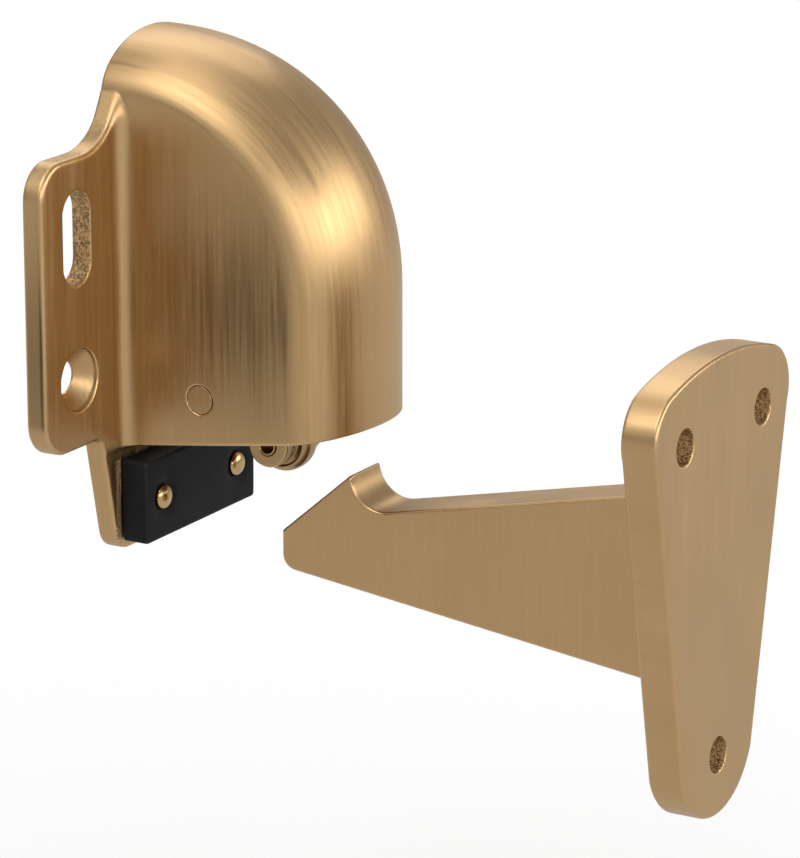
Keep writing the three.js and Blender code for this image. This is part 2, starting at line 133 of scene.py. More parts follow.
STRIKE_T = 7.3
SHOULDER_Y, SHOULDER_Z, SHOULDER_R, CROWN_Z = 18.6, 30.1, 9.0, 41.8
FOOT_Z, FOOT_R = -31.7, 15.5
WALL_HOLES = [(-16.0, 28.0), (16.0, 28.0), (0.0, -35.2)]
WALL_HOLE_R = 3.5
ARM_HALF = 5.65
TIP_X, TIP_TOP, TIP_BOTTOM, TIP_R = -91.1, -4.1, -12.1, 3.0
PEAK_X, PEAK_Z = -75.8, 9.2
NOTCH_X, NOTCH_Z, NOTCH_R = -69.2, 9.4, 6.6
ARM_SLOPE = math.radians(12)
ARM_ROOT_Z = -22.4
STRIKE_EDGE, ARM_EDGE, ARM_FILLET, WALL_HOLE_EDGE = 0.7, 0.45, 1.2, 0.25

# ---------------------------------------------------------------- distance fields, negative inside


def both(a, b, r=0.0):
    """Where a and b overlap, the edge between them rounded to radius r."""
    if np.isscalar(r) and r == 0:
        return np.maximum(a, b)
    return np.minimum(-r, np.maximum(a, b)) + np.hypot(np.maximum(a + r, 0), np.maximum(b + r, 0))


def either(a, b, r=0.0):
    """a joined to b, the corner between them filled to radius r."""
    return -both(-a, -b, r)


def without(a, b, r=0.0):
    return both(a, -b, r)


def block(u, v, half_u, half_v, r):
    """A rectangle with rounded corners."""
    p, q = np.abs(u) - half_u + r, np.abs(v) - half_v + r
    return np.minimum(np.maximum(p, q), 0) + np.hypot(np.maximum(p, 0), np.maximum(q, 0)) - r


def polygon(u, v, points):
    """Signed distance to a closed outline of points."""
    nearest = np.full(np.broadcast(u, v).shape, 1e9)
    inside = np.zeros(nearest.shape, bool)
    for (au, av), (bu, bv) in zip(points, [*points[1:], points[0]]):
        eu, ev = bu - au, bv - av
        wu, wv = u - au, v - av
        t = np.clip((wu * eu + wv * ev) / (eu * eu + ev * ev), 0, 1)
        nearest = np.minimum(nearest, (wu - t * eu) ** 2 + (wv - t * ev) ** 2)
        if ev != 0:
            inside ^= ((av > v) != (bv > v)) & (wu < eu * wv / ev)
    return np.sqrt(nearest) * np.where(inside, -1, 1)


def table(points, margin=3.0, step=0.1):
    """polygon() kept as a fine grid and read back by interpolation, for outlines with many points."""
    low = np.min(points, 0) - margin
    counts = ((np.max(points, 0) + margin - low) / step).astype(int) + 2
    us, vs = (low[i] + step * np.arange(counts[i]) for i in (0, 1))
    grid = polygon(us[:, None], vs[None, :], points)

    def read(u, v):
        fu = np.clip((u - low[0]) / step, 0, counts[0] - 1.001)
        fv = np.clip((v - low[1]) / step, 0, counts[1] - 1.001)
        i, j = fu.astype(int), fv.astype(int)
        p, q = fu - i, fv - j
        low_row = grid[i, j] * (1 - p) + grid[i + 1, j] * p
        high_row = grid[i, j + 1] * (1 - p) + grid[i + 1, j + 1] * p
        return low_row * (1 - q) + high_row * q

    return read


def eased(t):
    """0 to 1, flat at both ends."""
    t = np.clip(t, 0, 1)
    return t * t * (3 - 2 * t)


def arc(u, v, r, start, end, steps):
    """Points on an arc, angles in degrees."""
    angles = np.radians(np.linspace(start, end, steps + 1))
    return [(u + r * math.cos(a), v + r * math.sin(a)) for a in angles]


# ---------------------------------------------------------------- meshing


def gradient(field, p, h=0.02):
    out = np.empty_like(p)
    for axis in range(3):
        step = np.zeros(3)
        step[axis] = h
        out[:, axis] = (field(*(p + step).T) - field(*(p - step).T)) / (2 * h)
    return out


def normals(field, p):
    slope = gradient(field, p)
    return slope / np.linalg.norm(slope, axis=1)[:, None]


def settle(field, p):
    """Moves points on to the surface, at most 0.5 mm in one call."""
    slope = gradient(field, p)
    length = np.maximum((slope**2).sum(1), 0.05)
    shift = slope * (field(*p.T) / length)[:, None]
    size = np.linalg.norm(shift, axis=1)[:, None]
    return p - shift * np.minimum(1, 0.5 / np.maximum(size, 1e-9))


def surface(field, low, high, cell, tight=0.0):
    """Faces on the surface field = 0: one vertex in each grid cell that it crosses, evened out along it."""
    axes = [np.arange(a - 2.3 * cell, b + 2.5 * cell, cell) for a, b in zip(low, high)]
    x, y, z = axes[0][:, None, None], axes[1][None, :, None], axes[2][None, None, :]
    shape = tuple(len(a) for a in axes)
    d = np.broadcast_to(field(x, y, z), shape)
    inside = d < 0
    corners = [(i, j, k) for i in (0, 1) for j in (0, 1) for k in (0, 1)]
    nx, ny, nz = (n - 1 for n in shape)
    count = sum(inside[i : nx + i, j : ny + j, k : nz + k].astype(int) for i, j, k in corners)
    cells = np.argwhere((count > 0) & (count < 8))
    index = np.full(count.shape, -1)
    index[tuple(cells.T)] = np.arange(len(cells))

    at = {c: d[tuple((cells + c).T)] for c in corners}
    total, hits = np.zeros((len(cells), 3)), np.zeros(len(cells))
    for a in corners:
        for axis in range(3):
            if a[axis]:
                continue
            b = tuple(1 if i == axis else a[i] for i in range(3))
            crosses = (at[a] < 0) != (at[b] < 0)
            t = np.where(crosses, at[a] / np.where(crosses, at[a] - at[b], 1), 0)
            point = np.array(a, float) + t[:, None] * (np.array(b) - np.array(a))
            total += point * crosses[:, None]
            hits += crosses
    points = np.array([a[0] for a in axes]) + (cells + total / hits[:, None]) * cell

    quads = []
    for axis in range(3):
        u, v = (axis + 1) % 3, (axis + 2) % 3
        first = [slice(0, n) for n in shape]
        second = [slice(0, n) for n in shape]
        first[axis], second[axis] = slice(0, -1), slice(1, None)
        starts, ends = inside[tuple(first)], inside[tuple(second)]
        edges = np.argwhere(starts != ends)
        out = starts[tuple(edges.T)]
        ring = []
        for du, dv in ((1, 1), (0, 1), (0, 0), (1, 0)):
            at_cell = edges.copy()
            at_cell[:, u] -= du
            at_cell[:, v] -= dv
            ring.append(index[tuple(at_cell.T)])
        ring = np.stack(ring, 1)
        ring[~out] = ring[~out][:, ::-1]
        quads.append(ring)
    quads = np.concatenate(quads)

    ends = np.concatenate([quads[:, [i, (i + 1) % 4]] for i in range(4)])
    ends = np.concatenate([ends, ends[:, ::-1]])
    here, there = ends.T
    degree = np.bincount(here, minlength=len(points))[:, None]
    for _ in range(3):
        points = settle(field, points)
        mean = np.stack([np.bincount(here, points[there, i], len(points)) for i in range(3)], 1) / degree
        points = points + 0.5 * (mean - points)
    for _ in range(3):
        points = settle(field, points)
    quads = quads.tolist()
    if tight:
        points, quads = refine(field, points, quads, tight)
    return points, quads


def refine(field, points, quads, limit):
    """Splits the faces where the surface turns tightly, and settles the new points."""
    tight = np.abs(curvature(field, points)) > limit
    mesh = bpy.data.meshes.new("refine")
    mesh.from_pydata(points.tolist(), [], quads)
    mesh.update()
    work = bmesh.new()
    work.from_mesh(mesh)
    bpy.data.meshes.remove(mesh)
    work.verts.ensure_lookup_table()
    chosen = {e for i in np.flatnonzero(tight) for f in work.verts[i].link_faces for e in f.edges}
    order = sorted(chosen, key=lambda e: e.index)
    bmesh.ops.subdivide_edges(work, edges=order, cuts=1, use_grid_fill=True)
    work.verts.index_update()
    points = settle(field, settle(field, np.array([v.co[:] for v in work.verts])))
    faces = [[v.index for v in f.verts] for f in work.faces]
    work.free()
    return points, faces


def curvature(field, p, h=0.35):
    """Sum of the surface's curvatures, in 1/mm: positive on a convex edge, negative in a hollow corner."""
    total = -6 * field(*p.T)
    for axis in range(3):
        step = np.zeros(3)
        step[axis] = h
        total += field(*(p + step).T) + field(*(p - step).T)
    return total / h**2


def piece(name, body, slot, node, points, faces, material, attributes):
    """A mesh object from millimetre points, riding on its body and standing for a CAD node."""
    mesh = bpy.data.meshes.new(name)
    mesh.from_pydata((np.asarray(points) * MM).tolist(), [], [list(map(int, f)) for f in faces])
    mesh.validate()
    mesh.polygons.foreach_set("use_smooth", [True] * len(mesh.polygons))
    for key, values in attributes.items():
        values = np.asarray(values, np.float32)
        kind, entry = ("FLOAT_VECTOR", "vector") if values.ndim == 2 else ("FLOAT", "value")
        mesh.attributes.new(key, kind, "POINT").data.foreach_set(entry, values.ravel())
    mesh.materials.append(material)
    obj = bpy.data.objects.new(name, mesh)
    bpy.context.scene.collection.objects.link(obj)
    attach(obj, body)
    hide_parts(node)
    return obj


# ---------------------------------------------------------------- housing


def hood_inset(x, z, wall=0.0):
    """How far inside the hood's longest upright section a place lies."""
    reach, rise = HOOD_DEPTH - wall - HOOD_BACK, HOOD_RISE - wall
    u, v = np.maximum(x - HOOD_BACK, 1e-3), np.maximum(z - HOOD_SPRING, 0.0)
    up, vp = u**HOOD_POWER, v**HOOD_POWER
    ratio = (up / reach**HOOD_POWER + vp / rise**HOOD_POWER) ** (1 / HOOD_POWER)
    inset = np.minimum(reach * (1 - ratio), 0.7 * rise)
    for _ in range(3):
        a, b = reach - inset, rise - inset
        pa, pb = up / a**HOOD_POWER, vp / b**HOOD_POWER
        inset = np.minimum(inset - (pa + pb - 1) / (HOOD_POWER * (pa / a + pb / b) + 1e-9), 0.8 * rise)
    return inset


def hood(x, y, z, wall=0.0):
    half = HOOD_HALF - wall
    q = np.maximum(HOOD_CROWN - hood_inset(x, z, wall), 0) / HOOD_CROWN
    w = np.abs(y) / half
    k0, k1 = np.hypot(q, w), np.hypot(q / HOOD_CROWN, w / half)
    return k0 * (k0 - 1) / (k1 + 1e-6)


def cavity(x, y, z):
    room = np.minimum(CAVITY_FLOOR - z, PLATE_T - x)
    return both(hood(x, y, z, HOOD_WALL), room, CAVITY_CORNER)


def slot_wall(y, z):
    off = z - SLOT_Z
    return np.hypot(np.abs(y) - SLOT_Y, off - np.clip(off, -SLOT_REACH, SLOT_REACH)) - SLOT_HALF


def countersink(x, y, z):
    """A 90 degree seat over the screw hole, with a short straight lip in front of it."""
    r = np.hypot(np.abs(y) - SLOT_Y, z - SCREW_Z)
    cone = (r - SCREW_HEAD + (PLATE_T - SCREW_LIP - x)) * math.sqrt(0.5)
    return np.minimum(r - SCREW_R, np.maximum(r - SCREW_HEAD, cone))


def back_plate(x, y, z):
    """Both flanges, the neck that joins them to the hood, and the tongue."""
    middle, half = (FLANGE_TOP + FLANGE_BOTTOM) / 2, (FLANGE_TOP - FLANGE_BOTTOM) / 2
    outline = block(y, z - middle, FLANGE_HALF, half, FLANGE_CORNER)
    pulled_in = FILLET * eased((z - NECK_Z) / NECK_SPAN)
    neck = np.maximum(hood(PLATE_T / 2, y, z) + pulled_in, NECK_LOW - z)
    outline = either(outline, neck, FLANGE_BLEND)
    corners = [(u - math.copysign(TONGUE_CORNER, u), v + (TONGUE_CORNER if v < 0 else 0)) for u, v in TONGUE]
    outline = either(outline, polygon(y, z, corners) - TONGUE_CORNER, TONGUE_BLEND)
    return both(outline, x - PLATE_T, PLATE_EDGE)


def inner_supports(x, y, z):
    """The bridge that guides the plunger, and the boss over the spring."""
    r = np.hypot(x - ROLLER_X, y)
    middle, half = (GUIDE_LOW + GUIDE_HIGH) / 2, (GUIDE_HIGH - GUIDE_LOW) / 2
    bridge = np.minimum(r - GUIDE_R, np.abs(x - ROLLER_X) - GUIDE_WEB)
    bridge = both(bridge, np.abs(z - middle) - half, CAVITY_CORNER)
    seat = both(r - SEAT_R, SEAT_Z - z, CAVITY_CORNER)
    return np.minimum(bridge, seat)


def housing_field(x, y, z):
    outer = hood(x, y, z)
    flare = FILLET * (1 - FLARE_LOSS * eased((z - FLARE_Z) / FLARE_SPAN))
    body = either(back_plate(x, y, z), np.maximum(outer, 5 - z), flare)
    below = (z - MOUTH_Z - MOUTH_SLOPE * x) / math.hypot(1, MOUTH_SLOPE)
    body = without(body, both(below, PLATE_T - x, 0.6), MOUTH_EDGE)
    body = without(body, cavity(x, y, z), MOUTH_EDGE)

    body = either(body, np.maximum(inner_supports(x, y, z), outer + GUIDE_INSET), SUPPORT_FILLET)
    r = np.hypot(x - ROLLER_X, y)
    spigot = np.maximum(both(r - SPIGOT_R, SEAT_Z - SPIGOT_L - z, SPIGOT_EDGE), z - SEAT_Z - 2)
    body = np.minimum(body, spigot)
    middle, half = (GUIDE_LOW + GUIDE_HIGH) / 2, (GUIDE_HIGH - GUIDE_LOW) / 2
    bore = np.maximum(r - PLUNGER_R - RUNNING_GAP, np.abs(z - middle) - half - 1.5)
    body = without(body, bore, HOLE_EDGE)
    body = without(body, np.hypot(x - PIN_X, z - PIN_Z) - PIN_R - PIN_GAP, PIN_EDGE)

    body = without(body, slot_wall(y, z), HOLE_EDGE)
    body = without(body, countersink(x, y, z), BROKEN_EDGE)
    body = without(body, np.hypot(np.abs(y) - RIVET_Y, z - RIVET_Z) - RIVET_BORE, BROKEN_EDGE)
    return both(body, -x, BACK_EDGE)


def housing_grain(p):
    """Brushing follows the hood's arch over its crown and is upright elsewhere."""
    x, y, z = p.T
    inset = hood_inset(x, z)
    crown = (z > HOOD_SPRING) & (inset < HOOD_CROWN) & (np.abs(hood(x, y, z)) < 0.3)
    angle = np.arctan2(z - HOOD_SPRING, np.maximum(x - HOOD_BACK, 1e-3))
    arch_r = 48
    across = np.where(crown, HOOD_DEPTH - inset, x)
    along = np.where(crown, HOOD_SPRING + arch_r * angle, z)
    return np.stack([across, y, along], 1)


def make_housing(material):
    """The cast skin shows in the slots, in the cavity and in a strip beside the bumper."""
    low, high = (0, -FLANGE_HALF, TONGUE[2][1]), (HOOD_DEPTH, FLANGE_HALF, HOOD_SPRING + HOOD_RISE)
    p, quads = surface(housing_field, low, high, CELL, TIGHT)
    x, y, z = p.T
    in_slot = (np.abs(slot_wall(y, z)) < 0.25) & (np.abs(normals(housing_field, p)[:, 0]) < 0.75)
    in_cavity = (cavity(x, y, z) < 0.15) & (hood(x, y, z) < -0.5)
    by_bumper = (np.abs(np.abs(y) - BUMPER_HALF - 0.6) < 0.8) & (x > PLATE_T - 0.5) & (z < BUMPER_TOP)
    attributes = {
        "grain": housing_grain(p),
        "edge": curvature(housing_field, p),
        "cast": np.clip(in_slot + 0.7 * in_cavity + 0.8 * by_bumper, 0, 1),
    }
    ids = ("housing_casting", "door_unit", "bronze_casting", "housing")
    return piece(*ids, p + [DOOR_X, 0, 0], quads, material, attributes)


# ---------------------------------------------------------------- strike


def plate_points():
    reach = math.hypot(SHOULDER_Y, SHOULDER_Z - FOOT_Z)
    lean = math.atan2(SHOULDER_Y, SHOULDER_Z - FOOT_Z) + math.asin((FOOT_R - SHOULDER_R) / reach)
    side = -math.degrees(lean)
    rise = CROWN_Z - SHOULDER_Z
    crown_r = (SHOULDER_Y**2 + rise**2 - SHOULDER_R**2) / (2 * (rise - SHOULDER_R))
    edge = math.degrees(math.atan2(SHOULDER_Z - CROWN_Z + crown_r, SHOULDER_Y))
    half = [
        *arc(0, FOOT_Z, FOOT_R, -90, side, 30),
        *arc(SHOULDER_Y, SHOULDER_Z, SHOULDER_R, side, edge, 26),
        *arc(0, CROWN_Z - crown_r, crown_r, edge, 90, 18),
    ]
    return half + [(-y, z) for y, z in half[1:-1]][::-1]


def arm_points():
    notch = arc(NOTCH_X, NOTCH_Z, NOTCH_R, -180, math.degrees(ARM_SLOPE) - 90, 40)
    low_x, low_z = notch[-1]
    slope = (ARM_ROOT_Z - TIP_BOTTOM) / (-STRIKE_T - TIP_X)
    lean = math.degrees(math.atan(slope))
    heel = arc(TIP_X + TIP_R, TIP_BOTTOM + TIP_R + 0.3, TIP_R, 180, 270 + lean, 14)
    root = -STRIKE_T / 2
    bottom = (root, heel[-1][1] + slope * (root - heel[-1][0]))
    top = (root, low_z + math.tan(ARM_SLOPE) * (root - low_x))
    return [(TIP_X, TIP_TOP), *heel, bottom, top, *notch[::-1], (PEAK_X, PEAK_Z)]


PLATE_OUTLINE = table(plate_points())
ARM_OUTLINE = table(arm_points())


def wall_holes(y, z):
    return np.minimum.reduce([np.hypot(y - v, z - w) - WALL_HOLE_R for v, w in WALL_HOLES])


def strike_field(x, y, z):
    plate = both(PLATE_OUTLINE(y, z), np.abs(x + STRIKE_T / 2) - STRIKE_T / 2, STRIKE_EDGE)
    arm = both(ARM_OUTLINE(x, z), np.abs(y) - ARM_HALF, ARM_EDGE)
    body = either(plate, arm, ARM_FILLET)
    return without(np.maximum(body, x), wall_holes(y, z), WALL_HOLE_EDGE)


def strike_grain(p, normal):
    """Brushing is upright on the faces, across the plate's edge, and along the arm's top."""
    x, y, z = p.T
    rim = (x > -STRIKE_T) & (np.abs(normal[:, 0]) < 0.6)
    top = (x < -STRIKE_T) & (np.abs(normal[:, 1]) < 0.6)
    across = np.where(rim, np.hypot(y, z), np.where(top, y, x))
    along = np.where(rim | top, x, z)
    return np.stack([across, np.where(rim | top, 0, y), along], 1)


def make_strike(material):
    low, high = (TIP_X, -28, FOOT_Z - FOOT_R), (0, 28, CROWN_Z)
    p, quads = surface(strike_field, low, high, CELL, TIGHT)
    normal = normals(strike_field, p)
    in_hole = (np.abs(wall_holes(p[:, 1], p[:, 2])) < 0.2) & (np.abs(normal[:, 0]) < 0.6)
    attributes = {"grain": strike_grain(p, normal), "edge": curvature(strike_field, p), "cast": in_hole}
    return piece("strike_casting", "strike", "bronze_casting", "strike", p, quads, material, attributes)


# ---------------------------------------------------------------- bumper


def bumper_field(x, y, z):
    """A moulded block, its front slightly full, pinched in round both rivets."""
    middle, half = (BUMPER_TOP + BUMPER_LOW) / 2, (BUMPER_TOP - BUMPER_LOW) / 2
    r = np.hypot(np.abs(y) - RIVET_Y, z - RIVET_Z)
    pinch = DIMPLE * np.exp(-((r / DIMPLE_R) ** 3)) + DISH * np.exp(-((r / DISH_R) ** 2))
    front = x - BUMPER_FRONT + 0.02 + pinch + BUMPER_CROWN * ((z - middle) / half) ** 2
    outline = block(y, z - middle, BUMPER_HALF, half, BUMPER_CORNER)
    body = both(outline, front, BUMPER_EDGE)
    return both(body, PLATE_T + 0.3 - x, 0.3)


def make_bumper(material):
    low, high = (PLATE_T, -BUMPER_HALF, BUMPER_LOW), (BUMPER_FRONT, BUMPER_HALF, BUMPER_TOP)
    p, quads = surface(bumper_field, low, high, 0.7 * CELL)
    attributes = {"edge": curvature(bumper_field, p)}
    ids = ("bumper_rubber", "door_unit", "black_rubber", "bumper")
    return piece(*ids, p + [DOOR_X, 0, 0], quads, material, attributes)


# ---------------------------------------------------------------- plunger


def plunger_field(x, y, z):
    """A turned bar with a spring spigot, a forked round tip and a milled flat for the cross pin."""
    u, up = x - ROLLER_X, z - ROLLER_Z
    r = np.hypot(u, y)
    middle, half = (PLUNGER_LOW + PLUNGER_TOP) / 2, (PLUNGER_TOP - PLUNGER_LOW) / 2
    bar = both(r - PLUNGER_R, np.abs(z - middle) - half, BAR_EDGE)
    spigot = both(r - SPIGOT_R, np.abs(z - PLUNGER_TOP) - SPIGOT_L, SPIGOT_EDGE)
    ears = np.hypot(u, up - np.clip(up, 0, EAR_RISE)) - EAR_R
    ears = both(ears, np.abs(y) - EAR_HALF, EAR_EDGE)
    body = either(np.minimum(bar, spigot), np.maximum(ears, z - PLUNGER_LOW - 2), EAR_BLEND)
    fork = both(np.abs(y) - FORK_HALF, up - FORK_TOP, FORK_CORNER)
    body = without(body, fork, FORK_EDGE)
    body = without(body, np.hypot(u, up) - AXLE_R - 0.1, 0.15)
    reach = PIN_R + RUNNING_GAP
    low, high = PIN_Z - reach - STROKE, PIN_Z + reach
    flat = np.maximum(np.abs(z - (low + high) / 2) - (high - low) / 2, x - PIN_X - reach)
    return without(body, flat, 0.25)


def make_plunger(material):
    """Turned lines run round the bar, and round the axle on the fork's tip."""
    low = (ROLLER_X - PLUNGER_R, -PLUNGER_R, ROLLER_Z - EAR_R)
    high = (ROLLER_X + PLUNGER_R, PLUNGER_R, PLUNGER_TOP + SPIGOT_L)
    p, quads = surface(plunger_field, low, high, 0.5 * CELL)
    x, y, z = p.T
    tip = z < PLUNGER_LOW
    side = np.where(tip, z - ROLLER_Z, y)
    angle = np.arctan2(side, x - ROLLER_X)
    grain_r = 4
    grain = np.stack([np.hypot(x - ROLLER_X, side), np.where(tip, y, z), grain_r * angle], 1)
    attributes = {"grain": grain, "edge": curvature(plunger_field, p), "cast": np.zeros(len(p))}
    ids = ("plunger_bar", "plunger", "bronze_turned", "plunger")
    return piece(*ids, p + [DOOR_X, 0, 0], quads, material, attributes)


# ---------------------------------------------------------------- turned pieces and the spring


SEGMENTS = 96


def softened(half, steps=5):
    """A closed profile from one side's corners [radius, along, round], mirrored and rounded."""
    corners = [(r, -along, soft) for r, along, soft in half] + half[::-1]
    out = []
    for i, (r, along, soft) in enumerate(corners):
        here = np.array([r, along], float)
        before = np.array(corners[i - 1][:2]) - here
        after = np.array(corners[(i + 1) % len(corners)][:2]) - here
        a = here + soft * before / np.linalg.norm(before)
        b = here + soft * after / np.linalg.norm(after)
        for t in np.linspace(0, 1, steps):
            out.append(tuple((1 - t) ** 2 * a + 2 * t * (1 - t) * here + t**2 * b))
    return out


def plain_attributes(grain):
    return {"grain": grain, "edge": np.zeros(len(grain)), "cast": np.zeros(len(grain))}


def turned(name, body, slot, node, profile, axis, origin, material, closed=False):
    """A turned piece, from a profile of [radius, distance along axis] that may close on itself."""
    angles = 2 * math.pi * np.arange(SEGMENTS) / SEGMENTS
    axes = {"x": ((0, 1, 0), (0, 0, 1), (1, 0, 0)), "y": ((0, 0, 1), (1, 0, 0), (0, 1, 0))}[axis]
    e1, e2, e3 = (np.array(v, float) for v in axes)
    points, rings, grain = [], [], []
    for r, along in profile:
        if r < 1e-6:
            rings.append([len(points)])
            points.append(e3 * along)
            grain.append((0, along, 0))
            continue
        rings.append(list(range(len(points), len(points) + SEGMENTS)))
        points += [r * math.cos(a) * e1 + r * math.sin(a) * e2 + e3 * along for a in angles]
        grain += [(r, along, r * abs(a - math.pi)) for a in angles]
    faces = []
    pairs = list(zip(rings, rings[1:])) + ([(rings[-1], rings[0])] if closed else [])
    for a, b in pairs:
        for i in range(SEGMENTS):
            j = (i + 1) % SEGMENTS
            if len(a) == 1:
                faces.append((a[0], b[j], b[i]))
            elif len(b) == 1:
                faces.append((a[i], a[j], b[0]))
            else:
                faces.append((a[i], a[j], b[j], b[i]))
    return piece(name, body, slot, node, np.array(points) + origin, faces, material, plain_attributes(grain))


def make_rivet(node, sign, material):
    """A domed head in the rubber, and a shank whose tail is spread in the casting, its end nearly flat."""
    base, angles = RIVET_SEAT + 0.12, np.linspace(0, math.pi / 2, 14)
    dome = [(RIVET_HEAD * math.cos(t), base + RIVET_DOME * math.sin(t)) for t in angles]
    dome[-1] = (0, dome[-1][1])
    tail = [(0, 0.12), (2.2, 0.25), (RIVET_TAIL - 0.04, 0.265), (RIVET_TAIL, 0.27), (RIVET_SHANK + 0.1, 1.19)]
    profile = [*tail, (RIVET_SHANK, RIVET_SEAT), (RIVET_HEAD - 0.15, RIVET_SEAT + 0.02), *dome]
    origin = [DOOR_X, sign * RIVET_Y, RIVET_Z]
    return turned(f"{node}_head", "door_unit", "brass_rivet", node, profile, "x", origin, material)


def make_cross_pin(material):
    """A plain pin whose ends were dressed flush with the hood, so its brushing lines up with the hood's."""
    end, chamfer, hold = HOOD_HALF - 0.02, 0.05, 0.08  # a ring of points at hold keeps the faces flat
    profile = [(0, -end), (PIN_R - hold, -end), (PIN_R - chamfer, -end)]
    profile += [(PIN_R, chamfer - end), (PIN_R, hold - end)]
    profile += [(r, -along) for r, along in profile[::-1]]
    origin = [DOOR_X + PIN_X, 0, PIN_Z]
    ids = ("cross_pin_turned", "door_unit", "bronze_turned", "cross_pin")
    pin = turned(*ids, profile, "y", origin, material)
    places = np.array([v.co[:] for v in pin.data.vertices]) / MM - [DOOR_X, 0, 0]
    pin.data.attributes["grain"].data.foreach_set("vector", places.astype(np.float32).ravel())
    return pin


def make_roller(material):
    """The roller's faces have a shallow turned recess round the hub."""
    recess = ROLLER_HALF - RECESS
    half = [
        (ROLLER_BORE, ROLLER_HALF, 0.15), (3.7, ROLLER_HALF, 0.15), (4.0, recess, 0.15), (4.9, recess, 0.15),
        (5.2, ROLLER_HALF, 0.1), (ROLLER_R, 1.6, 0.9),
    ]
    ids = ("roller_turned", "roller", "bronze_turned", "roller")
    return turned(*ids, softened(half), "y", AXLE_PLACE, material, closed=True)


def make_axle(material):
    """A hollow pin, its ends rolled over."""
    end = AXLE_HALF - 0.02
    half = [(AXLE_BORE, end - 0.5, 0.2), (AXLE_BORE + 0.2, end, 0.12)]
    half += [(AXLE_R, end, 0.12), (AXLE_R, end - 0.4, 0.1)]
    ids = ("roller_axle_pin", "plunger", "brass_rivet", "roller_axle")
    return turned(*ids, softened(half, 4), "y", AXLE_PLACE, material, closed=True)


def make_washer(node, sign, material):
    half = [(WASHER_BORE, WASHER_HALF, 0.12), (WASHER_R, WASHER_HALF, 0.18)]
    origin = [AXLE_PLACE[0], WASHER_Y * sign, AXLE_PLACE[2]]
    ids = (f"{node}_ring", "plunger", "spring_steel", node)
    return turned(*ids, softened(half), "y", origin, material, closed=True)


def make_spring(material):
    """A round-wire compression spring with closed, ground ends."""
    low, high = SPRING_LOW + WIRE_R, SPRING_HIGH - WIRE_R
    closed_pitch = 2 * WIRE_R + 0.1
    open_pitch = (high - low - 2 * closed_pitch) / (COIL_TURNS - 2)
    turns = np.linspace(0, COIL_TURNS, 36 * COIL_TURNS + 1)
    height = low + closed_pitch * np.minimum(turns, 1) + open_pitch * np.clip(turns - 1, 0, COIL_TURNS - 2)
    height += closed_pitch * np.maximum(turns - COIL_TURNS + 1, 0)
    angle = 2 * math.pi * turns
    out = np.stack([np.cos(angle), np.sin(angle), 0 * angle], 1)
    path = COIL_R * out + [ROLLER_X, 0, 0]
    path[:, 2] = height
    sides = 14
    points, faces = [], []
    for i, (at, o) in enumerate(zip(path, out)):
        for k in range(sides):
            t = 2 * math.pi * k / sides
            points.append(at + WIRE_R * (math.cos(t) * o + math.sin(t) * np.array([0, 0, 1])))
        if i:
            a, b = (i - 1) * sides, i * sides
            faces += [(a + k, b + k, b + (k + 1) % sides, a + (k + 1) % sides) for k in range(sides)]
    faces += [tuple(range(sides)), tuple(range(len(points) - sides, len(points)))[::-1]]
    points = np.array(points)
    points[:, 2] = np.clip(points[:, 2], SPRING_LOW + WIRE_GROUND, SPRING_HIGH - WIRE_GROUND)
    grain = np.stack([points[:, 2], 0 * points[:, 0], np.repeat(angle, sides) * COIL_R], 1)
    ids = ("plunger_spring_wire", "door_unit", "spring_steel", "plunger_spring")
    spring = piece(*ids, points + [DOOR_X, 0, 0], faces, material, plain_attributes(grain))
    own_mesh(spring)
    return spring


# ---------------------------------------------------------------- materials


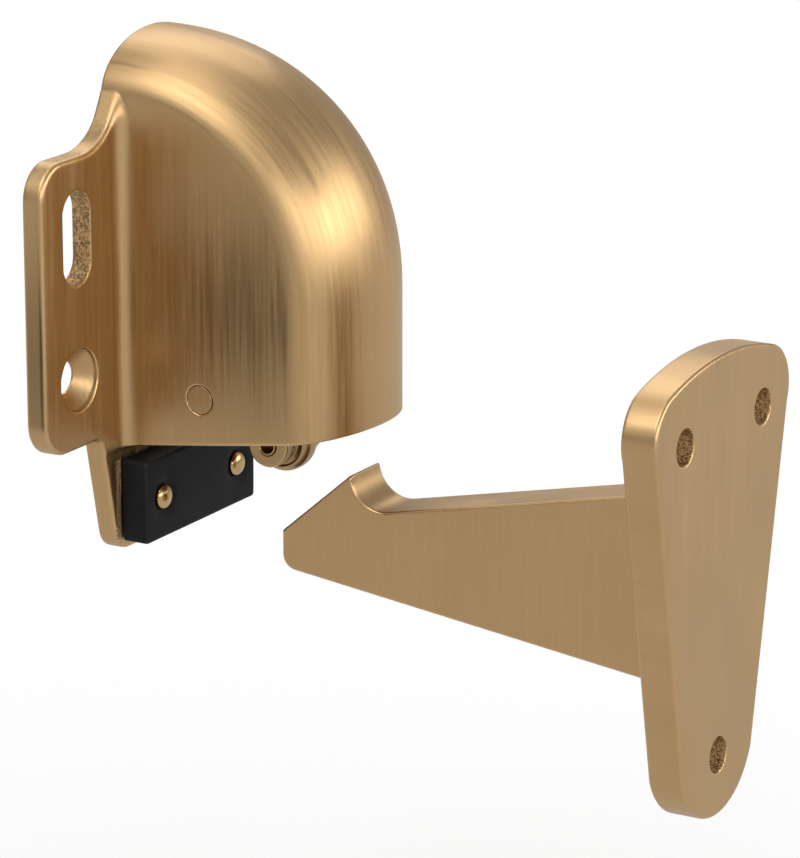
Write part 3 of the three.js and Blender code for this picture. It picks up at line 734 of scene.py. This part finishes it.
class Nodes:
    """Short calls for a material's node tree."""

    def __init__(self, name):
        self.material = bpy.data.materials.new(name)
        self.material.use_nodes = True
        self.tree = self.material.node_tree
        self.shader = self.tree.nodes["Principled BSDF"]

    def add(self, kind, settings=None, **inputs):
        """A new node. Its inputs are given by name, or as i0, i1 and so on by number."""
        node = self.tree.nodes.new(kind)
        for key, value in (settings or {}).items():
            setattr(node, key, value)
        for key, value in inputs.items():
            self.feed(node.inputs[int(key[1:]) if key[1:].isdigit() else key], value)
        return node

    def feed(self, socket, value):
        if isinstance(value, bpy.types.NodeSocket):
            self.tree.links.new(value, socket)
        else:
            socket.default_value = value

    def attribute(self, name, output="Fac"):
        return self.add("ShaderNodeAttribute", {"attribute_name": name}).outputs[output]

    def math(self, operation, a, b=0.0, clamp=False):
        settings = {"operation": operation, "use_clamp": clamp}
        return self.add("ShaderNodeMath", settings, i0=a, i1=b).outputs[0]

    def scaled(self, vector, scale):
        return self.add("ShaderNodeVectorMath", {"operation": "MULTIPLY"}, i0=vector, i1=scale).outputs[0]

    def noise(self, vector, scale, detail, rough):
        inputs = {"Vector": vector, "Scale": scale, "Detail": detail, "Roughness": rough}
        return self.add("ShaderNodeTexNoise", **inputs).outputs["Fac"]

    def spread(self, value, low, high, to_low=0.0, to_high=1.0):
        """The value's range from low to high, carried over to another range and kept inside it."""
        node = self.add("ShaderNodeMapRange", Value=value)
        for key, number in (("From Min", low), ("From Max", high), ("To Min", to_low), ("To Max", to_high)):
            node.inputs[key].default_value = number
        return node.outputs[0]

    def mix(self, factor, a, b):
        node = self.add("ShaderNodeMix", {"data_type": "RGBA"})
        self.feed(node.inputs["Factor"], factor)
        self.feed(node.inputs[6], a)
        self.feed(node.inputs[7], b)
        return node.outputs[2]

    def blend(self, factor, a, b):
        node = self.add("ShaderNodeMix", {"data_type": "FLOAT"})
        for i, value in ((0, factor), (2, a), (3, b)):
            self.feed(node.inputs[i], value)
        return node.outputs[0]

    def bump(self, height, distance):
        return self.add("ShaderNodeBump", Height=height, Strength=1.0, Distance=distance).outputs[0]

    def finish(self, **inputs):
        for key, value in inputs.items():
            self.feed(self.shader.inputs[key.replace("_", " ")], value)
        return self.material


def rgb(r, g, b):
    return (r, g, b, 1.0)


def shade(colour, factor):
    return rgb(*(min(1, factor * c) for c in colour[:3]))


def brushed_metal(name, pale, dark, roughness, lines=1.0):
    """Satin metal with fine lines along the brushing, longer smears, polished edges and painted shade in
    hollow corners.

    The cast attribute shows bare cast skin instead, and edge is the surface's curvature.
    """
    n = Nodes(name)
    grain = n.attribute("grain", "Vector")
    edge, cast = n.attribute("edge"), n.attribute("cast")
    fine = n.noise(n.scaled(grain, (5.0, 5.0, 0.10)), 1.0, 4.0, 0.65)
    streak = n.noise(n.scaled(grain, (1.3, 1.3, 0.035)), 1.0, 3.0, 0.55)
    smear = n.noise(n.scaled(grain, (0.22, 0.22, 0.03)), 1.0, 2.0, 0.5)
    cloud = n.noise(grain, 0.05, 2.0, 0.5)

    tone = n.math("ADD", n.math("MULTIPLY", fine, 0.35), n.math("MULTIPLY", streak, 0.4))
    tone = n.math("ADD", tone, n.math("MULTIPLY", smear, 0.25))
    colour = n.mix(n.spread(tone, 0.36, 0.64), dark, pale)
    dull = n.spread(cloud, 0.3, 0.7, 0.0, 0.25)
    colour = n.mix(dull, colour, shade(dark, 0.86))
    worn = n.spread(edge, 0.5, 2.5)
    # painted shade: hollow corners (negative curvature) are darkened towards a deep shade of the dark colour
    hollow = n.spread(edge, -0.25, -0.9)
    colour = n.mix(n.math("MULTIPLY", worn, 0.45), colour, shade(pale, 1.25))
    colour = n.mix(n.math("MULTIPLY", hollow, 0.35), colour, shade(dark, 0.55))

    place = n.add("ShaderNodeTexCoord").outputs["Object"]
    sand = n.noise(place, 2000.0, 4.0, 0.75)
    pits = n.spread(sand, 0.43, 0.58)
    skin = n.mix(pits, shade(dark, 0.5), shade(pale, 1.3))
    colour = n.mix(cast, colour, skin)

    rough = n.spread(streak, 0.3, 0.7, roughness - 0.06, roughness + 0.08)
    rough = n.math("ADD", rough, n.spread(smear, 0.3, 0.7, -0.04, 0.05))
    rough = n.math("SUBTRACT", rough, n.math("MULTIPLY", worn, 0.08))
    rough = n.blend(cast, rough, 0.5)

    lined = n.math("ADD", n.math("MULTIPLY", fine, 0.4 * lines), n.math("MULTIPLY", streak, 0.2 * lines))
    height = n.blend(cast, lined, n.math("MULTIPLY", pits, 7.0))
    normal = n.bump(height, 0.000009)
    return n.finish(Base_Color=colour, Metallic=1.0, Roughness=rough, Anisotropic=0.2, Normal=normal)


def steel_wire(name):
    n = Nodes(name)
    grain = n.attribute("grain", "Vector")
    drawn = n.noise(n.scaled(grain, (4.0, 4.0, 0.3)), 1.0, 3.0, 0.6)
    oil = n.noise(n.add("ShaderNodeTexCoord").outputs["Object"], 220.0, 2.0, 0.5)
    colour = n.mix(n.spread(drawn, 0.3, 0.7), rgb(0.30, 0.29, 0.28), rgb(0.50, 0.49, 0.47))
    colour = n.mix(n.spread(oil, 0.45, 0.75, 0.0, 0.4), colour, rgb(0.16, 0.13, 0.10))
    rough = n.spread(oil, 0.3, 0.7, 0.24, 0.42)
    return n.finish(Base_Color=colour, Metallic=1.0, Roughness=rough, Normal=n.bump(drawn, 0.00001))


def rubber(name):
    n = Nodes(name)
    place = n.add("ShaderNodeTexCoord").outputs["Object"]
    edge = n.attribute("edge")
    grit = n.noise(place, 2600.0, 3.0, 0.6)
    bloom = n.noise(place, 120.0, 3.0, 0.6)
    colour = n.mix(n.spread(bloom, 0.35, 0.7), rgb(0.0045, 0.0045, 0.005), rgb(0.0085, 0.0085, 0.009))
    # painted highlight: the rubber's convex edges are lightened
    colour = n.mix(n.spread(edge, 0.6, 2.6, 0.0, 0.5), colour, rgb(0.022, 0.022, 0.023))
    rough = n.spread(bloom, 0.3, 0.7, 0.42, 0.6)
    height = n.math("ADD", grit, n.math("MULTIPLY", bloom, 1.5))
    normal = n.bump(height, 0.00002)
    return n.finish(Base_Color=colour, Roughness=rough, Specular_IOR_Level=0.09, Normal=normal)


# ---------------------------------------------------------------- stage, in metres

FLOOR_HALF, FLOOR_DROP, FLOOR_GLOW = 4.0, 0.05, 0.09
SEEN_STRENGTH = 1.1  # the world as the camera and dull surfaces see it
GREY_BELOW, GREY_ABOVE = (-0.16, 0.78), (0.04, 0.46)  # height and grey of the world as reflections see it
LIGHT_DISTANCE = 1.2
CARD_X, CARD_Y, CARD_Z, CARD_SOFTNESS = (-0.156, -0.092), -0.080, (-0.004, 0.050), 3.2
CAMERA_AZIMUTH, CAMERA_ELEVATION, CAMERA_DISTANCE, CAMERA_LENS = 30.0, 15.73, 0.8533, 188.8
CAMERA_AIM = Vector((-6.6, 0, -3.8)) * MM  # from the middle of the CAD box

MIDDLE = (CAD_LOW + CAD_HIGH) / 2


def outward(azimuth, elevation):
    """The direction from the object to a camera or light, both angles in degrees."""
    a, e = math.radians(azimuth), math.radians(elevation)
    return Vector((math.sin(a) * math.cos(e), -math.cos(a) * math.cos(e), math.sin(e)))


def make_floor():
    """A pale floor that reflections don't see, and the collection that keeps the soft boxes off it."""
    z = CAD_LOW[2] - FLOOR_DROP
    signs = [(-1, -1), (1, -1), (1, 1), (-1, 1)]
    mesh = bpy.data.meshes.new("floor")
    mesh.from_pydata([(u * FLOOR_HALF, v * FLOOR_HALF, z) for u, v in signs], [], [(0, 1, 2, 3)])
    floor = bpy.data.objects.new("floor", mesh)
    bpy.context.scene.collection.objects.link(floor)
    n = Nodes("pale_floor")
    glow = {"Emission_Color": rgb(1, 1, 1), "Emission_Strength": FLOOR_GLOW}
    look = {"Base_Color": rgb(0.9, 0.9, 0.9), "Roughness": 1.0, "Specular_IOR_Level": 0.0}
    mesh.materials.append(n.finish(**look, **glow))
    floor.visible_glossy = False
    lit = bpy.data.collections.new("lit")
    lit.objects.link(floor)
    lit.collection_objects[0].light_linking.link_state = "EXCLUDE"


def make_world():
    """White to the camera and to dull surfaces, and a grey studio to reflections."""
    world = bpy.data.worlds.new("studio")
    world.use_nodes = True
    tree = world.node_tree
    place = tree.nodes.new("ShaderNodeTexCoord")
    split = tree.nodes.new("ShaderNodeSeparateXYZ")
    grey = tree.nodes.new("ShaderNodeMapRange")
    for end, (height, value) in (("Min", GREY_BELOW), ("Max", GREY_ABOVE)):
        grey.inputs[f"From {end}"].default_value = height
        grey.inputs[f"To {end}"].default_value = value
    tree.links.new(place.outputs["Generated"], split.inputs[0])
    tree.links.new(split.outputs["Z"], grey.inputs["Value"])
    tree.links.new(grey.outputs[0], tree.nodes["Background"].inputs["Color"])
    seen = tree.nodes.new("ShaderNodeBackground")
    seen.inputs["Color"].default_value = rgb(1, 1, 1)
    seen.inputs["Strength"].default_value = SEEN_STRENGTH
    path = tree.nodes.new("ShaderNodeLightPath")
    choose = tree.nodes.new("ShaderNodeMixShader")
    direct = tree.nodes.new("ShaderNodeMath")
    direct.operation = "MAXIMUM"
    tree.links.new(path.outputs["Is Camera Ray"], direct.inputs[0])
    tree.links.new(path.outputs["Is Diffuse Ray"], direct.inputs[1])
    tree.links.new(direct.outputs[0], choose.inputs[0])
    tree.links.new(tree.nodes["Background"].outputs[0], choose.inputs[1])
    tree.links.new(seen.outputs[0], choose.inputs[2])
    tree.links.new(choose.outputs[0], tree.nodes["World Output"].inputs[0])
    bpy.context.scene.world = world


def light(name, azimuth, elevation, width, height, power):
    """A soft box aimed at the object, which lights the object and not the floor."""
    back = outward(azimuth, elevation)
    data = bpy.data.lights.new(name, "AREA")
    data.shape = "RECTANGLE"
    data.size, data.size_y = width, height
    data.energy = power
    obj = bpy.data.objects.new(name, data)
    obj.location = MIDDLE + back * LIGHT_DISTANCE
    obj.rotation_euler = (-back).to_track_quat("-Z", "Y").to_euler()
    bpy.context.scene.collection.objects.link(obj)
    obj.light_linking.receiver_collection = bpy.data.collections["lit"]


def make_card():
    """A soft-edged black card beside the housing, seen only in reflections, as photographers shade metal."""
    (left, right), (low, high) = CARD_X, CARD_Z
    corners = [(left, CARD_Y, low), (right, CARD_Y, low), (right, CARD_Y, high), (left, CARD_Y, high)]
    mesh = bpy.data.meshes.new("flag")
    mesh.from_pydata(corners, [], [(0, 1, 2, 3)])
    n = Nodes("black_card")
    place = n.add("ShaderNodeTexCoord").outputs["Generated"]
    place = n.add("ShaderNodeSeparateXYZ", Vector=place).outputs
    sides, ends = (n.math("MINIMUM", place[i], n.math("SUBTRACT", 1.0, place[i])) for i in (0, 2))
    sides, ends = (n.math("MULTIPLY", inset, CARD_SOFTNESS, True) for inset in (sides, ends))
    look = {"Base_Color": rgb(0.01, 0.01, 0.01), "Roughness": 1.0, "Specular_IOR_Level": 0.0}
    mesh.materials.append(n.finish(**look, Alpha=n.math("MULTIPLY", sides, ends)))
    card = bpy.data.objects.new("flag", mesh)
    bpy.context.scene.collection.objects.link(card)
    card.visible_camera = False
    card.visible_diffuse = False
    card.visible_shadow = False


def make_camera():
    back = outward(CAMERA_AZIMUTH, CAMERA_ELEVATION)
    data = bpy.data.cameras.new("camera")
    data.sensor_width = 36.0
    data.lens = CAMERA_LENS
    data.clip_start, data.clip_end = 0.01, 50
    camera = bpy.data.objects.new("camera", data)
    camera.location = MIDDLE + CAMERA_AIM + back * CAMERA_DISTANCE
    camera.rotation_mode = "QUATERNION"
    camera.rotation_quaternion = (-back).to_track_quat("-Z", "Y")
    bpy.context.scene.collection.objects.link(camera)
    bpy.context.scene.camera = camera


# ---------------------------------------------------------------- the scene

casting = brushed_metal("bronze_casting", rgb(0.55, 0.366, 0.181), rgb(0.48, 0.31, 0.146), 0.38)
turned_bronze = brushed_metal("bronze_turned", rgb(0.46, 0.31, 0.155), rgb(0.37, 0.24, 0.11), 0.30, 0.6)
brass = brushed_metal("brass_rivet", rgb(0.60, 0.42, 0.20), rgb(0.48, 0.32, 0.14), 0.22, 0.4)
wire = steel_wire("spring_steel")

make_housing(casting)
make_strike(casting)
make_bumper(rubber("black_rubber"))
make_plunger(turned_bronze)
make_roller(turned_bronze)
make_cross_pin(casting)
make_rivet("bumper_rivet_near", -1, brass)
make_rivet("bumper_rivet_far", 1, brass)
make_axle(brass)
make_washer("roller_washer_near", -1, wire)
make_washer("roller_washer_far", 1, wire)
make_spring(wire)

make_floor()
make_world()
make_camera()
light("key", -18, 50, 0.62, 0.90, 5.6)
light("side_front", 54, 19, 1.30, 0.48, 6.0)
light("side_far", 112, 20, 1.30, 0.50, 7.2)
light("back", -147, 45, 0.75, 0.70, 3.0)
light("top", -80, 80, 0.70, 0.50, 1.5)
make_card()

bpy.context.scene.view_settings.view_transform = "Standard"
